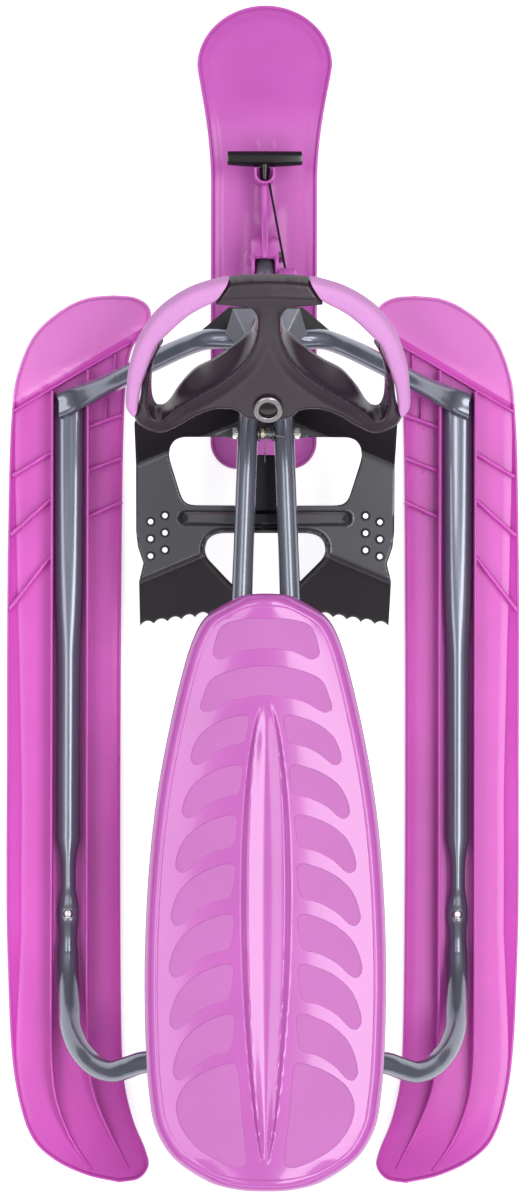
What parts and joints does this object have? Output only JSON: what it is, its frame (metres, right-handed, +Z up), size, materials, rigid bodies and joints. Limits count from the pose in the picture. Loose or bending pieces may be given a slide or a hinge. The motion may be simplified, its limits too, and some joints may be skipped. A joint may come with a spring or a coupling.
{
  "type": "steering sled",
  "caption": "Child's steering sled: front ski under a steering wheel, two side skis, tube frame, moulded seat, foot brake and a tow rope on a reel.",
  "frame": {"origin": "on the ground under the middle of the sled's length and width", "axes": "-Y is the way the sled travels, +X is the rider's left, +Z is up"},
  "size_m": [0.512, 1.164, 0.3792],
  "materials": {
    "black_paint": "satin",
    "black_plastic": "satin",
    "grey_paint": "gloss",
    "pink_grip": "matt",
    "pink_plastic": "satin",
    "rope": "braided",
    "seat_plastic": "gloss",
    "spring_steel": "bright",
    "white_plastic": "satin",
    "yellow_zinc": "yellow zinc",
    "zinc": "bright zinc"
  },
  "bodies": {
    "frame": {"brake_bolt": "zinc", "brake_nut": "zinc", "brake_spacer": "yellow_zinc", "brake_spring": "spring_steel", "bushing_lower": "white_plastic", "bushing_upper": "white_plastic", "cross_tube_left": "grey_paint", "cross_tube_right": "grey_paint", "gusset_plate": "black_paint", "head_bracket": "grey_paint", "head_tube": "grey_paint", "main_beam_left": "grey_paint", "main_beam_right": "grey_paint", "seat_plate_front": "grey_paint", "seat_plate_rear": "grey_paint", "seat_screw_1": "zinc", "seat_screw_2": "zinc", "seat_screw_3": "zinc", "seat_screw_4": "zinc", "seat_shell": "seat_plastic", "side_rail_left": "grey_paint", "side_rail_right": "grey_paint", "side_ski_left": "pink_plastic", "side_ski_right": "pink_plastic", "ski_screw_left": "zinc", "ski_screw_right": "zinc"},
    "steering": {"steering_column": "grey_paint", "collar_upper": "grey_paint", "collar_lower": "grey_paint", "wheel_body": "black_plastic", "grip_left": "pink_grip", "grip_right": "pink_grip", "hub_cap": "zinc", "wheel_bolt": "zinc", "wheel_nut": "zinc"},
    "front_ski": {"front_ski": "pink_plastic", "ski_pivot_pin": "zinc", "ski_pivot_nut": "zinc", "reel_housing": "pink_plastic", "reel_cover": "pink_plastic", "rewind_spring": "spring_steel", "reel_axle": "zinc"},
    "reel": {"rope_spool": "white_plastic", "rope_winding": "rope"},
    "tow_handle": {"tow_handle": "black_plastic", "tow_rope": "rope"},
    "brake": {"brake_plate": "black_paint"}
  },
  "joints": [
    {"name": "steering", "type": "hinge", "parent": "frame", "child": "steering", "pos_m": [0, -0.177, 0.305], "axis": [0, 0.5299, 0.848], "range_deg": [-20, 20]},
    {"name": "ski_pitch", "type": "hinge", "parent": "steering", "child": "front_ski", "pos_m": [0, -0.33598, 0.05059], "axis": [1, 0, 0], "range_deg": [-10, 10]},
    {"name": "tow_slide", "type": "slide", "parent": "front_ski", "child": "tow_handle", "axis": [0.1794, -0.9727, -0.1475], "range_m": [0, 0.03], "stiffness_N_per_m": 40, "springref_m": -0.02},
    {"name": "reel_spin", "type": "hinge", "parent": "front_ski", "child": "reel", "pos_m": [0, -0.29847, 0.08478], "axis": [-1, 0, 0], "range_deg": [0, 106]},
    {"name": "brake", "type": "hinge", "parent": "frame", "child": "brake", "pos_m": [0, -0.158, 0.17128], "axis": [-1, 0, 0], "range_deg": [0, 16], "stiffness_Nm_per_rad": 3, "springref_deg": -28.65}
  ],
  "couplings": [
    {"joint": "reel_spin", "follows": "tow_slide", "rad_per_m": 60.606}
  ]
}
